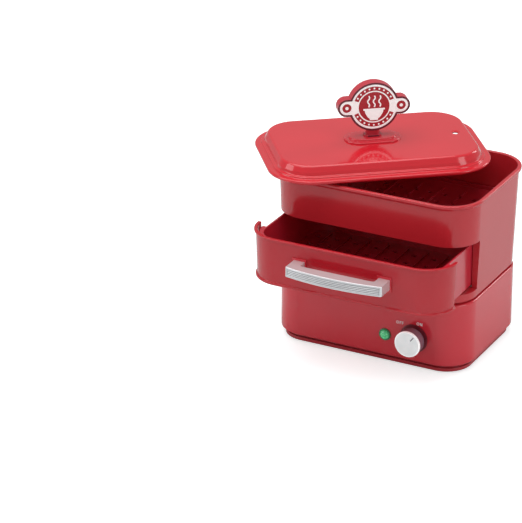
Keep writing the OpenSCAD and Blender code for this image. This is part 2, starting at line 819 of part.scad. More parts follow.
// Handle

handle_z = front_z0 + 0.545 * front_h;
post_w = 16;
post_x = handle_w / 2 - post_w / 2;
handle_y0 = -house_d / 2 - lean(front_z1) - handle_out;
pad_t = 1.2;
panel_lean = lean(handle_z + handle_h / 2) + 0.1;
module handle_bar() {
    y_back = -house_d / 2 - panel_lean - pad_t - touch;
    groove_n = 5;
    pitch = 2;
    half = handle_w / 2;
    y_end = handle_y0 + handle_bow;
    y_in = y_end + handle_t;
    bow_r = (half * half + handle_bow * handle_bow) / 2 / handle_bow;
    nose = 2.4;
    color([0.86, 0.86, 0.88]) pulled_out() difference() {
        intersection() {
            translate([0, 0, handle_z - handle_h / 2]) linear_extrude(handle_h) difference() {
                intersection() {
                    polygon([[-half, y_end + nose], [-half + 2 * handle_bow, y_end + nose - 2 * handle_bow],
                        [half - 2 * handle_bow, y_end + nose - 2 * handle_bow], [half, y_end + nose],
                        [half, y_back], [-half, y_back]]);
                    translate([0, handle_y0 + bow_r]) circle(bow_r, $fn = 720);
                }
                polygon([[-half + post_w + 3, y_in], [half - post_w - 3, y_in], [half - post_w, y_in + 3],
                    [half - post_w, y_back + 5], [-half + post_w, y_back + 5], [-half + post_w, y_in + 3]]);
            }
            translate([0, 0, handle_z]) rotate([90, 0, 0]) translate([0, 0, -y_back - 1])
                linear_extrude(handle_out + 10) plan(handle_w, handle_h, 2.5);
        }
        // fine grooves that follow the bowed front
        for (i = [0 : groove_n - 1])
            translate([0, 0, handle_z + (i - (groove_n - 1) / 2) * pitch - 0.45]) linear_extrude(0.9)
                difference() {
                    translate([4 - half, handle_y0 - 1]) square([handle_w - 8, handle_bow + 2]);
                    translate([0, handle_y0 + bow_r]) circle(bow_r - 0.6, $fn = 720);
                }
        for (s = [-1, 1]) pin_y(s * post_x, handle_z, 1.75, y_back - 14, y_back + 2);
    }
}

module handle_pads() {
    y0 = -house_d / 2 - panel_lean - pad_t;
    color([0.6, 0.06, 0.09]) pulled_out() difference() {
        for (s = [-1, 1])
            difference() {
                bar(s * post_x - 10, s * post_x + 10, y0, y0 + pad_t + 3.2, handle_z - 10, handle_z + 10);
                pin_y(s * post_x, handle_z, 2.1, y0 - 3, y0 + 9);
            }
        leaning(house_w + 2 * lean(front_z0) + touch, house_d + 2 * lean(front_z0) + touch,
            house_r + lean(front_z0), front_z0, front_z1, lean(front_z1) - lean(front_z0));
    }
}

module handle_screws() {
    y_in = box_front + box_wall + touch;
    color([0.62, 0.62, 0.64]) pulled_out() for (s = [-1, 1]) union() {
        pin_y(s * post_x, handle_z, 1.65, -house_d / 2 - panel_lean - 12, y_in + 1);
        pin_y(s * post_x, handle_z, 3.8, y_in, y_in + 2);
    }
}

// Lid

module lid_shell() {
    pw = lid_w - 2 * plateau_in;
    pd = lid_d - 2 * plateau_in;
    pr = lid_r - plateau_in;
    top_w = pw - 2 * plateau_lean;
    top_d = pd - 2 * plateau_lean;
    top_r = pr - plateau_lean;
    color([0.74, 0.07, 0.11]) on_rim() difference() {
        union() {
            block(lid_w, lid_d, lid_r, 0, flange_t - 1);
            leaning(lid_w, lid_d, lid_r, flange_t - 1, flange_t, -1);
            // raised middle with a sloping shoulder
            block(pw + 6, pd + 6, pr + 3, flange_t - 1, flange_t + 1.5);
            leaning(pw, pd, pr, flange_t, lid_h - edge_c, -plateau_lean);
            leaning(top_w, top_d, top_r, lid_h - edge_c, lid_h, -edge_c);
            // locating rib
            block(lid_w - 2 * rib_in, lid_d - 2 * rib_in, lid_r - rib_in, -rib_h, 1);
        }
        block(lid_w - 2 * (rib_in + rib_t), lid_d - 2 * (rib_in + rib_t), lid_r - rib_in - rib_t, -rib_h - 1,
            flange_t - lid_t + 1);
        leaning(pw - 2 * lid_t, pd - 2 * lid_t, pr - lid_t, flange_t - lid_t, lid_h - lid_t, -plateau_lean);
        // steam vent in its shallow dish
        post(vent_x, 0, vent_r, lid_h - lid_t - 1, lid_h + 1);
        post(vent_x, 0, vent_r + 2.6, lid_h - 0.8, lid_h + 1);
        post(0, 0, 2.2, lid_h - lid_t - 1, lid_h + 1);
    }
}

module lid_boss() {
    color([0.74, 0.07, 0.11]) on_rim() difference() {
        union() {
            block(boss_w, boss_d, boss_d / 2 - 0.5, lid_h + touch, lid_h + step_h);
            block(boss_w - 14, boss_d - 10, boss_d / 2 - 5.5, lid_h + step_h, boss_top);
        }
        post(0, 0, 2.2, lid_h - 1, boss_top + 1);
    }
}

// outline of the upright plate, drawn flat
module plate_outline(r, w, lr) {
    union() {
        circle(r);
        square([w - 2 * lr, 2 * lr], center = true);
        for (s = [-1, 1]) translate([s * (w / 2 - lr), 0]) circle(lr);
    }
}

module topper_body() {
    color([0.72, 0.07, 0.11]) on_rim() difference() {
        union() {
            translate([0, plate_t / 2, plate_z]) rotate([90, 0, 0]) linear_extrude(plate_t)
                plate_outline(plate_r, lobes_w, lobe_r);
            translate([0, 0, boss_top + touch]) linear_extrude(plate_z - plate_r - boss_top + 4)
                plan(neck_w, neck_t, 3);
            translate([0, 0, boss_top + touch]) linear_extrude(2) plan(neck_w + 6, neck_t + 6, 5);
        }
        // recesses for the two face plates
        for (s = [0, 1]) rotate([0, 0, s * 180])
            translate([0, -plate_t / 2 + art_t, plate_z]) rotate([90, 0, 0]) linear_extrude(art_t + 1)
                plate_outline(art_r, lobes_w - 5, lobe_r - 2.5);
        post(0, 0, 1.75, boss_top - 1, boss_top + 20);
    }
}

// face plate with a raised medallion: rings, beads and rising waves over a bowl
module face_plate() {
    base_t = art_t - 0.5;
    beads = 24;
    translate([0, -plate_t / 2 + art_t - touch, plate_z]) rotate([90, 0, 0]) union() {
        linear_extrude(base_t) plate_outline(art_r - 0.15, lobes_w - 5.3, lobe_r - 2.65);
        for (rr = [art_r - 1.5, art_r - 9]) linear_extrude(base_t + 0.4) difference() {
            circle(rr);
            circle(rr - 1.2);
        }
        for (i = [0 : beads - 1])
            if (abs(sin(i * 360 / beads)) > 0.3)
                rotate([0, 0, i * 360 / beads]) translate([art_r - 5.5, 0, 0]) linear_extrude(base_t + 0.4)
                    circle(1.2, $fn = 24);
        for (s = [-1, 1]) translate([s * (lobes_w / 2 - lobe_r), 0, 0]) linear_extrude(base_t + 0.4)
            difference() {
                circle(lobe_r - 4.5);
                circle(lobe_r - 5.7);
            }
        // bowl
        translate([0, -7, 0]) linear_extrude(base_t + 0.4) difference() {
            circle(11);
            translate([-15, 0]) square([30, 15]);
        }
    }
}

module topper_front() {
    color([0.93, 0.9, 0.88]) on_rim() face_plate();
}

module topper_back() {
    color([0.93, 0.9, 0.88]) on_rim() rotate([0, 0, 180]) face_plate();
}

module topper_screw() {
    z0 = lid_h - lid_t;
    color([0.62, 0.62, 0.64]) on_rim() union() {
        cylinder_between(4, z0 - 2.2, z0 - touch);
        cylinder_between(1.65, z0 - 1, boss_top + 15);
    }
}

base_shell();
base_deck();
bottom_cover();
feet();
cover_screws();
cord_gland();
lamp_bezel();
lamp_lens();
pilot_lamp();
dial_ring();
dial_marks();
switch_body();
switch_nut();
knob_shaft();
knob_skirt();
knob_cap();
water_pan();
heater_plate();
heating_ring();
thermostat();
thermal_fuse();
terminal_block();
wiring();
steam_plate();
housing();
bin_frame();
housing_screws();
rail_left();
rail_right();
roll_tray();
drawer_front();
drawer_box();
drawer_runners();
handle_bar();
handle_pads();
handle_screws();
lid_shell();
lid_boss();
topper_body();
topper_front();
topper_back();
topper_screw();
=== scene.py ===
import math

import bpy
import bmesh
from mathutils import Matrix, Vector


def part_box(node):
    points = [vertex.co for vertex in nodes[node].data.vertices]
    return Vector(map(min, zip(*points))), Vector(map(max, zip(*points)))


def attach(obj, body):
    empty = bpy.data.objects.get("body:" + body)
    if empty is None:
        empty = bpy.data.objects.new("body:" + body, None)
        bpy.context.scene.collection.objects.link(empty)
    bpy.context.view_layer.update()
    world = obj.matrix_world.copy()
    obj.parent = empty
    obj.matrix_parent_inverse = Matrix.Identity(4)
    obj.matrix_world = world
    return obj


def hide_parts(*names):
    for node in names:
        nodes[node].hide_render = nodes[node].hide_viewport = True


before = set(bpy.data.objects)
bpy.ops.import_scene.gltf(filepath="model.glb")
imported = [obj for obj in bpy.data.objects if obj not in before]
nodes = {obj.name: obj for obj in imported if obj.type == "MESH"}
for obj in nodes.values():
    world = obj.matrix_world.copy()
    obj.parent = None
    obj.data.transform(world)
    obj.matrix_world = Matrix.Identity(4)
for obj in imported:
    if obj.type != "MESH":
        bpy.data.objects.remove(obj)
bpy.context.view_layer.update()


# Camera, table and light.
# The steamer stands on a white table in a light tent. The camera looks from the front right and a
# little from above, with a long lens.
camera_data = bpy.data.cameras.new("camera")
camera_data.lens = 198.28
camera_data.sensor_width = 36
camera_data.clip_start = 0.1
camera_data.clip_end = 50
camera = bpy.data.objects.new("camera", camera_data)
bpy.context.collection.objects.link(camera)
camera.location = (1.4943, -3.1704, 1.6719)
camera.rotation_mode = "QUATERNION"
to_camera = Vector((0.42349, -0.80834, 0.40894))
camera.rotation_quaternion = (-to_camera).to_track_quat("-Z", "Y")
bpy.context.scene.camera = camera
bpy.context.scene.view_settings.view_transform = "Standard"


def new_material(name):
    """An empty material with its link and node makers and its output node."""
    mat = bpy.data.materials.new(name)
    mat.use_nodes = True
    tree = mat.node_tree
    tree.nodes.clear()
    return mat, tree.links.new, tree.nodes.new, tree.nodes.new("ShaderNodeOutputMaterial")


table_radius = 6
table_mat, link, add, out = new_material("table_white")
lit = add("ShaderNodeBsdfDiffuse")
lit.inputs["Color"].default_value = (0.73, 0.8, 0.8, 1)
seen = add("ShaderNodeEmission")
seen.inputs["Color"].default_value = (1, 1, 1, 1)
seen.inputs["Strength"].default_value = 0.58
path = add("ShaderNodeLightPath")
extra = add("ShaderNodeMixShader")
both = add("ShaderNodeAddShader")
link(path.outputs["Is Camera Ray"], extra.inputs[0])
link(lit.outputs[0], both.inputs[0])
link(seen.outputs[0], both.inputs[1])
link(lit.outputs[0], extra.inputs[1])
link(both.outputs[0], extra.inputs[2])
link(extra.outputs[0], out.inputs["Surface"])
bm = bmesh.new()
bmesh.ops.create_circle(bm, cap_ends=True, segments=96, radius=table_radius)
table_mesh = bpy.data.meshes.new("table")
bm.to_mesh(table_mesh)
bm.free()
table_mesh.materials.append(table_mat)
table = bpy.data.objects.new("table", table_mesh)
bpy.context.collection.objects.link(table)

world = bpy.data.worlds.new("tent")
bpy.context.scene.world = world
world.use_nodes = True
world.node_tree.nodes.clear()
add, link = world.node_tree.nodes.new, world.node_tree.links.new
out = add("ShaderNodeOutputWorld")
path = add("ShaderNodeLightPath")
dim = add("ShaderNodeBackground")
dim.inputs["Color"].default_value = (1, 1, 1, 1)
dim.inputs["Strength"].default_value = 0.42
white = add("ShaderNodeBackground")
white.inputs["Color"].default_value = (1, 1, 1, 1)
white.inputs["Strength"].default_value = 1.0
choice = add("ShaderNodeMixShader")
link(path.outputs["Is Camera Ray"], choice.inputs[0])
link(dim.outputs[0], choice.inputs[1])
link(white.outputs[0], choice.inputs[2])
link(choice.outputs[0], out.inputs["Surface"])


def soft_box(name, place, aim, width, height, watts):
    """A square studio lamp at a place, turned to a point."""
    data = bpy.data.lights.new(name, "AREA")
    data.shape = "RECTANGLE"
    data.size = width
    data.size_y = height
    data.energy = watts
    lamp = bpy.data.objects.new(name, data)
    lamp.location = place
    lamp.rotation_mode = "QUATERNION"
    lamp.rotation_quaternion = (Vector(aim) - Vector(place)).to_track_quat("-Z", "Y")
    bpy.context.collection.objects.link(lamp)


soft_box("top_box", (-0.3, -0.2, 2.2), (0, 0, 0.1), 2.4, 2.0, 34)
soft_box("left_box", (-2.2, -1.6, 1.3), (0, 0, 0.15), 1.4, 1.6, 16)
soft_box("right_box", (2.3, -0.4, 0.9), (0, 0, 0.15), 0.9, 1.5, 11)
soft_box("back_box", (1.5, 2.6, 1.5), (0, 0, 0.2), 0.7, 1.4, 18)


# Heated base.
# One injection-moulded shell in glossy red plastic, with rounded edges, a flange at the top that
# the housing stands on, and holes for the lamp, the switch and the cord gland.
MM = 0.001
weld = 2e-6


def noise(add, scale, detail):
    """A noise texture of one grain and detail."""
    made = add("ShaderNodeTexNoise")
    made.inputs["Scale"].default_value = scale
    made.inputs["Detail"].default_value = detail
    return made


def tones(add, colour, change, low, high=0.7):
    """A ramp from a darker to a lighter tone of a colour, reached at a low and a high factor."""
    ramp = add("ShaderNodeValToRGB")
    dark, light = ramp.color_ramp.elements
    dark.position, light.position = low, high
    dark.color = (*[c * (1 - change) for c in colour], 1)
    light.color = (*[min(1, c * (1 + change)) for c in colour], 1)
    return ramp


def spread(add, low, high):
    """Stretches a factor from 0 to 1 between two values."""
    made = add("ShaderNodeMapRange")
    made.inputs["To Min"].default_value = low
    made.inputs["To Max"].default_value = high
    return made


def bumps(add, strength, distance):
    """A bump of a strength and a height in metres."""
    made = add("ShaderNodeBump")
    made.inputs["Strength"].default_value = strength
    made.inputs["Distance"].default_value = distance
    return made


def plastic(name, colour, rough=0.16, coat=0.3, wave=0.02, edge=0.0006):
    """Moulded plastic: a faint waviness, small changes of colour and gloss, softened edges."""
    mat, link, add, out = new_material(name)
    shader = add("ShaderNodeBsdfPrincipled")
    place = add("ShaderNodeTexCoord")
    tone, haze, ripple = noise(add, 9, 3), noise(add, 38, 5), noise(add, 14, 2)
    ramp = tones(add, colour, 0.04, 0.3)
    gloss = spread(add, rough * 0.8, rough * 1.25)
    bump = bumps(add, wave, 0.004)
    for texture in (tone, haze, ripple):
        link(place.outputs["Object"], texture.inputs["Vector"])
    link(tone.outputs["Fac"], ramp.inputs["Fac"])
    link(ramp.outputs["Color"], shader.inputs["Base Color"])
    link(haze.outputs["Fac"], gloss.inputs["Value"])
    link(gloss.outputs["Result"], shader.inputs["Roughness"])
    link(ripple.outputs["Fac"], bump.inputs["Height"])
    if edge:
        soft = add("ShaderNodeBevel")
        soft.samples = 6
        soft.inputs["Radius"].default_value = edge
        link(soft.outputs["Normal"], bump.inputs["Normal"])
    link(bump.outputs["Normal"], shader.inputs["Normal"])
    shader.inputs["Coat Weight"].default_value = coat
    shader.inputs["Coat Roughness"].default_value = 0.04
    link(shader.outputs[0], out.inputs["Surface"])
    return mat


def finish_node(mat, *names):
    """Gives CAD nodes their finish."""
    for name in names:
        for slot in nodes[name].material_slots:
            slot.material = mat


def rounded_path(points, closed=False, steps=5):
    """A section's points (inward, height, radius) with each corner turned into an arc."""
    done = []
    count = len(points)
    for i, (x, z, radius) in enumerate(points):
        here = Vector((x, z))
        if not radius or (not closed and i in (0, count - 1)):
            done.append((x, z))
            continue
        before = (Vector(points[i - 1][:2]) - here).normalized()
        after = (Vector(points[(i + 1) % count][:2]) - here).normalized()
        half = before.angle(after) / 2
        start = here + before * radius / math.tan(half)
        end = here + after * radius / math.tan(half)
        middle = here + (before + after).normalized() * radius / math.sin(half)
        sweep = (start - middle).angle_signed(end - middle)
        for k in range(steps + 1):
            arm = (start - middle).copy()
            arm.rotate(Matrix.Rotation(-sweep * k / steps, 2))
            done.append(tuple(middle + arm))
    return done


def soften(bm, geom, radius, segments, affect="EDGES", clamp=False):
    """Rounds edges, or with affect VERTICES the corners of a flat face."""
    return bmesh.ops.bevel(bm, geom=geom, offset=radius, offset_type="OFFSET", segments=segments, profile=0.5,
                           affect=affect, clamp_overlap=clamp, material=-1)


def sweep_outline(bm, width, depth, radius, section, closed=True, segments=14):
    """Sweeps a section, in mm inward from a rounded rectangle and in height, round that outline.

    A closed section makes a ring; an open one ends in a flat face."""
    start_in, start_z = section[0]
    corners = bmesh.ops.create_grid(bm, x_segments=1, y_segments=1, size=0.5)["verts"]
    bmesh.ops.scale(bm, vec=((width - 2 * start_in) * MM, (depth - 2 * start_in) * MM, 1), verts=corners)
    bmesh.ops.translate(bm, vec=(0, 0, start_z * MM), verts=corners)
    made = soften(bm, corners, (radius - start_in) * MM, segments, "VERTICES")
    face = made["verts"][0].link_faces[0]
    last = section[0]
    for point in section[1:] + (section[:1] if closed else []):
        bmesh.ops.inset_region(bm, faces=[face], thickness=(point[0] - last[0]) * MM,
                               depth=(point[1] - last[1]) * MM, use_even_offset=True, use_boundary=True)
        last = point
    if closed:
        bmesh.ops.delete(bm, geom=[face], context="FACES")
        bmesh.ops.remove_doubles(bm, verts=bm.verts[:], dist=weld)


def piece(name, bm, mat, body, stands_for=(), sharp=38, cutters=(), joined=(), weighted=True):
    """Turns a bmesh into an object that rides on a body, cut or joined by other bmeshes."""
    def mesh_object(label, source):
        mesh = bpy.data.meshes.new(label)
        source.to_mesh(mesh)
        source.free()
        made = bpy.data.objects.new(label, mesh)
        bpy.context.collection.objects.link(made)
        return made

    made = mesh_object(name, bm)
    tools = []
    for kind, group in (("UNION", joined), ("DIFFERENCE", cutters)):
        for i, source in enumerate(group):
            tool = mesh_object(f"{name}_{kind.lower()}_{i}", source)
            change = made.modifiers.new(tool.name, "BOOLEAN")
            change.object = tool
            change.operation = kind
            change.solver = "EXACT"
            tools.append(tool)
    if tools:
        mesh = bpy.data.meshes.new_from_object(made.evaluated_get(bpy.context.evaluated_depsgraph_get()))
        made.modifiers.clear()
        made.data = mesh
        for tool in tools:
            bpy.data.objects.remove(tool)
    if len(made.data.materials):
        made.data.materials.clear()
    for m in mat if isinstance(mat, (list, tuple)) else [mat]:
        made.data.materials.append(m)
    made.data.shade_smooth()
    made.data.set_sharp_from_angle(angle=math.radians(sharp))
    if weighted:
        even = made.modifiers.new("even_shading", "WEIGHTED_NORMAL")
        even.keep_sharp = True
        even.weight = 80
    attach(made, body)
    if stands_for:
        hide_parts(*stands_for)
    return made


def box_between(bm, low, high):
    """A box from its lowest to its highest corner, in metres."""
    low, high = Vector(low), Vector(high)
    made = bmesh.ops.create_cube(bm, size=1)["verts"]
    bmesh.ops.scale(bm, vec=high - low, verts=made)
    bmesh.ops.translate(bm, vec=(low + high) / 2, verts=made)
    return made


def pin_along_y(bm, x, z, radius, y0, y1, segments=48):
    """A round bar along Y, closed at both ends."""
    made = bmesh.ops.create_cone(bm, cap_ends=True, segments=segments, radius1=radius, radius2=radius,
                                 depth=y1 - y0)["verts"]
    bmesh.ops.rotate(bm, verts=made, matrix=Matrix.Rotation(math.radians(-90), 3, "X"))
    bmesh.ops.translate(bm, verts=made, vec=(x, (y0 + y1) / 2, z))
    return made


def as_bmesh(maker, *args, **kwargs):
    """A new bmesh with one shape in it."""
    bm = bmesh.new()
    maker(bm, *args, **kwargs)
    return bm


red = plastic("red_gloss", (0.63, 0.021, 0.037))
red_inside = plastic("red_inside", (0.5, 0.018, 0.035), rough=0.3, coat=0.1)
base_low, base_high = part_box("base_shell")
centre = (base_low + base_high) / 2
base_w, base_d = (base_high - base_low).x / MM, (base_high - base_low).y / MM
base_z0, base_z1 = base_low.z / MM, base_high.z / MM
corner_r, base_wall, flange_in, flange_t = 42, 3, 8, 1.2
front_y = base_low.y
at_centre = Matrix.Translation((centre.x, centre.y, 0))
section = rounded_path([
    (0, base_z0, 2.2), (0, base_z1, 2.6), (flange_in, base_z1, 0.4), (flange_in, base_z1 - flange_t, 0),
    (base_wall, base_z1 - flange_t, 0), (base_wall, base_z0, 0.4)], closed=True)
bm = bmesh.new()
sweep_outline(bm, base_w, base_d, corner_r, section)
bmesh.ops.transform(bm, matrix=at_centre, verts=bm.verts[:])
lamp_low, lamp_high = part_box("lamp_bezel")
lamp_x, lamp_z = (lamp_low.x + lamp_high.x) / 2, (lamp_low.z + lamp_high.z) / 2
knob_low, knob_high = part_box("knob_cap")
knob_x, knob_z = (knob_low.x + knob_high.x) / 2, (knob_low.z + knob_high.z) / 2
gland_low, gland_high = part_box("cord_gland")
gland_x, gland_z = (gland_low.x + gland_high.x) / 2, (gland_low.z + gland_high.z) / 2
through = 6 * MM
lamp_hole, shaft_hole, gland_hole = 6.1 * MM, 4.6 * MM, 5.2 * MM
piece("heated_base", bm, red, "base", ["base_shell"], cutters=[
    as_bmesh(pin_along_y, x, z, radius, y - through, y + through) for x, z, radius, y in (
        (lamp_x, lamp_z, lamp_hole, front_y), (knob_x, knob_z, shaft_hole, front_y),
        (gland_x, gland_z, gland_hole, base_high.y))])


# Bottom cover, deck, feet and screws.
# The cover is a darker red moulding set back under the shell, so that it reads as a plinth; four
# rubber feet are pushed into it and four screws hold it. The deck closes the base from above.
finish_node(plastic("red_plinth", (0.46, 0.018, 0.03), rough=0.3, coat=0.2), "bottom_cover")
finish_node(red_inside, "base_deck")


def rubber(name, colour, rough=0.75, grain=240, change=0.25):
    """Rubber or textured plastic: a matte, finely grained surface."""
    mat, link, add, out = new_material(name)
    shader = add("ShaderNodeBsdfPrincipled")
    place = add("ShaderNodeTexCoord")
    fine = noise(add, grain, 6)
    ramp = tones(add, colour, change, 0.35)
    bump = bumps(add, change, 0.0004)
    link(place.outputs["Object"], fine.inputs["Vector"])
    link(fine.outputs["Fac"], ramp.inputs["Fac"])
    link(ramp.outputs["Color"], shader.inputs["Base Color"])
    link(fine.outputs["Fac"], bump.inputs["Height"])
    link(bump.outputs["Normal"], shader.inputs["Normal"])
    shader.inputs["Roughness"].default_value = rough
    link(shader.outputs[0], out.inputs["Surface"])
    return mat


def metal(name, colour, rough=0.3, stretch=(1, 1, 1), grain=400, depth=0.12):
    """Metal whose fine grain runs along the axes with the smaller stretch."""
    mat, link, add, out = new_material(name)
    shader = add("ShaderNodeBsdfPrincipled")
    place = add("ShaderNodeTexCoord")
    scaled = add("ShaderNodeMapping")
    scaled.inputs["Scale"].default_value = stretch
    fine = noise(add, grain, 6)
    ramp = tones(add, colour, 0.15, 0.3)
    gloss = spread(add, rough * 0.75, rough * 1.3)
    bump = bumps(add, depth, 0.0003)
    link(place.outputs["Object"], scaled.inputs["Vector"])
    link(scaled.outputs["Vector"], fine.inputs["Vector"])
    link(fine.outputs["Fac"], ramp.inputs["Fac"])
    link(ramp.outputs["Color"], shader.inputs["Base Color"])
    link(fine.outputs["Fac"], gloss.inputs["Value"])
    link(gloss.outputs["Result"], shader.inputs["Roughness"])
    link(fine.outputs["Fac"], bump.inputs["Height"])
    link(bump.outputs["Normal"], shader.inputs["Normal"])
    shader.inputs["Metallic"].default_value = 1.0
    link(shader.outputs[0], out.inputs["Surface"])
    return mat


finish_node(rubber("black_rubber", (0.025, 0.025, 0.026)), "feet")
finish_node(metal("zinc_steel", (0.62, 0.63, 0.65), rough=0.32), "cover_screws", "housing_screws",
            "handle_screws", "topper_screw", "switch_nut", "knob_shaft")
finish_node(rubber("black_moulding", (0.04, 0.038, 0.04), rough=0.5, grain=160), "cord_gland", "switch_body")


# Water pan and heater.
# The pan is drawn from stainless steel. A cast aluminium plate with a ring element in its groove is
# pressed against its bottom; thermostat, fuse, terminals and wires lie under it.
finish_node(metal("stainless", (0.66, 0.67, 0.68), rough=0.24, stretch=(1, 14, 14), grain=90), "water_pan",
            "steam_plate")
finish_node(metal("cast_aluminium", (0.6, 0.61, 0.62), rough=0.5, grain=220, depth=0.5), "heater_plate")
finish_node(metal("heated_sheath", (0.13, 0.12, 0.12), rough=0.45), "heating_ring")
finish_node(rubber("cream_moulding", (0.72, 0.68, 0.56), rough=0.5, grain=120), "thermostat", "thermal_fuse",
            "terminal_block", "pilot_lamp")
finish_node(rubber("wire_cover", (0.62, 0.5, 0.04), rough=0.42, grain=90), "wiring")


# Pilot lamp.
# A green lens with cut facets sits in a darker green ring that is pushed through the front.
def lens_green(name, colour, rough, painted_sparkle):
    """Clear coloured plastic with cells of darker and lighter colour and a faint painted glow that rises to
    painted glints at the cells' middles.
    """
    mat, link, add, out = new_material(name)
    shader = add("ShaderNodeBsdfPrincipled")
    place = add("ShaderNodeTexCoord")
    cells = add("ShaderNodeTexVoronoi")
    cells.inputs["Scale"].default_value = 560
    ramp = add("ShaderNodeValToRGB")
    ramp.color_ramp.elements[0].color = (*[c * 0.55 for c in colour], 1)
    ramp.color_ramp.elements[1].color = (*[min(1, c * 1.5 + 0.02) for c in colour], 1)
    link(place.outputs["Object"], cells.inputs["Vector"])
    link(cells.outputs["Distance"], ramp.inputs["Fac"])
    link(ramp.outputs["Color"], shader.inputs["Base Color"])
    # Painted glints: the emission is strongest at each cell's middle and weak everywhere else.
    painted_glint_ramp = spread(add, painted_sparkle * 5, painted_sparkle * 0.3)
    painted_glint_ramp.inputs["From Max"].default_value = 0.45
    link(cells.outputs["Distance"], painted_glint_ramp.inputs["Value"])
    link(painted_glint_ramp.outputs["Result"], shader.inputs["Emission Strength"])
    shader.inputs["Roughness"].default_value = rough
    shader.inputs["Coat Weight"].default_value = 0.6
    shader.inputs["Coat Roughness"].default_value = 0.03
    shader.inputs["Emission Color"].default_value = (*[min(1, c + 0.15) for c in colour], 1)
    link(shader.outputs[0], out.inputs["Surface"])
    return mat


def turned(bm, section, x, z, segments=64):
    """Spins a section of (radius, y) points, in metres, about an axis along Y through x and z."""
    chain = [bm.verts.new((r, y, 0)) for r, y in section]
    edges = [bm.edges.new(pair) for pair in zip(chain, chain[1:])]
    bmesh.ops.spin(bm, geom=chain + edges, cent=(0, 0, 0), axis=(0, 1, 0), angle=math.tau, steps=segments,
                   use_merge=True)
    bmesh.ops.remove_doubles(bm, verts=bm.verts[:], dist=weld / 2)
    bmesh.ops.recalc_face_normals(bm, faces=bm.faces[:])
    bmesh.ops.translate(bm, verts=bm.verts[:], vec=(x, 0, z))


def cut_behind(bm, y):
    """Takes away what lies behind a place on Y and closes the cut."""
    bmesh.ops.bisect_plane(bm, geom=bm.verts[:] + bm.edges[:] + bm.faces[:], plane_co=(0, y, 0),
                           plane_no=(0, 1, 0), clear_outer=True)
    bmesh.ops.holes_fill(bm, edges=[e for e in bm.edges if e.is_boundary], sides=0)


def axial(points, y0):
    """Points (radius, forwards) in mm as (radius, y) in metres, forwards being towards -Y from y0."""
    return [(max(r, 0) * MM, y0 - f * MM) for r, f in points]


lamp_r = (lamp_high.x - lamp_low.x) / 2 / MM
section = rounded_path([
    (0, -4, 0), (6, -4, 0), (6, 0, 0.3), (lamp_r, 0, 0), (lamp_r, 1.2, 0.9), (lamp_r - 1.2, 2.1, 0.5),
    (lamp_r - 2.4, 1.6, 0), (lamp_r - 2.6, 0.6, 0), (0, 0.6, 0)])
bm = bmesh.new()
turned(bm, axial(section, front_y), lamp_x, lamp_z)
piece("lamp_ring", bm, lens_green("ring_green", (0.02, 0.17, 0.06), 0.25, 0.02), "base",
      ["lamp_bezel"])
bm = bmesh.new()
lens_r, lens_flat = (lamp_r - 1.9) * MM, 0.62
lens = bmesh.ops.create_uvsphere(bm, u_segments=12, v_segments=10, radius=lens_r)["verts"]
bmesh.ops.rotate(bm, verts=lens, matrix=Matrix.Rotation(math.radians(90), 3, "X"))
cut_behind(bm, 0)
bmesh.ops.scale(bm, verts=bm.verts[:], vec=(1, lens_flat, 1))
bmesh.ops.translate(bm, verts=bm.verts[:], vec=(lamp_x, front_y - 1.0 * MM, lamp_z))
piece("lamp_lens_cut", bm, lens_green("lens_green", (0.03, 0.5, 0.17), 0.06, 0.34), "base",
      ["lamp_lens"], sharp=5, weighted=False)


# Switch and knob.
# The knob is a silvered moulding with a pale, radially brushed cap that has a polished rim; the soft rays on
# it are painted reflection, the cap and rim glow with painted highlight, and the skirt's dark mauve is
# painted shade.
# It turns on the switch's steel shaft in front of a dark ring whose plum colour is painted shade; OFF and ON
# are printed on the front in white.
def turned_silver(name, colour, rough, spokes, lift):
    """Silvered plastic brushed round its middle, with a few soft rays of painted reflection in its colour and
    a painted glow of strength lift.
    """
    mat, link, add, out = new_material(name)
    shader = add("ShaderNodeBsdfPrincipled")
    place = add("ShaderNodeTexCoord")
    around = add("ShaderNodeMapping")
    around.inputs["Location"].default_value = (-knob_x, 0, -knob_z)
    ring = add("ShaderNodeTexGradient")
    ring.gradient_type = "RADIAL"
    flat = add("ShaderNodeMapping")
    flat.inputs["Rotation"].default_value = (math.radians(90), 0, 0)
    painted_rays = add("ShaderNodeMath")
    painted_rays.operation = "MULTIPLY"
    painted_rays.inputs[1].default_value = math.tau * spokes
    wave = add("ShaderNodeMath")
    wave.operation = "SINE"
    ramp = add("ShaderNodeValToRGB")
    ramp.color_ramp.elements[0].color = (*[c * 0.93 for c in colour], 1)
    ramp.color_ramp.elements[1].color = (*colour, 1)
    shift = spread(add, 0, 1)
    shift.inputs["From Min"].default_value = -1
    fine = noise(add, 500, 2)
    bump = bumps(add, 0.06, 0.0002)
    link(place.outputs["Object"], around.inputs["Vector"])
    link(around.outputs["Vector"], flat.inputs["Vector"])
    link(flat.outputs["Vector"], ring.inputs["Vector"])
    link(ring.outputs["Fac"], painted_rays.inputs[0])
    link(painted_rays.outputs[0], wave.inputs[0])
    link(wave.outputs[0], shift.inputs["Value"])
    link(shift.outputs["Result"], ramp.inputs["Fac"])
    link(ramp.outputs["Color"], shader.inputs["Base Color"])
    link(place.outputs["Object"], fine.inputs["Vector"])
    link(fine.outputs["Fac"], bump.inputs["Height"])
    link(bump.outputs["Normal"], shader.inputs["Normal"])
    shader.inputs["Metallic"].default_value = 0.2
    shader.inputs["Emission Color"].default_value = (*colour, 1)
    # Painted glow: the emission brightens the surface as painted highlight.
    shader.inputs["Emission Strength"].default_value = lift
    shader.inputs["Roughness"].default_value = rough
    shader.inputs["Coat Weight"].default_value = 0.35
    link(shader.outputs[0], out.inputs["Surface"])
    return mat
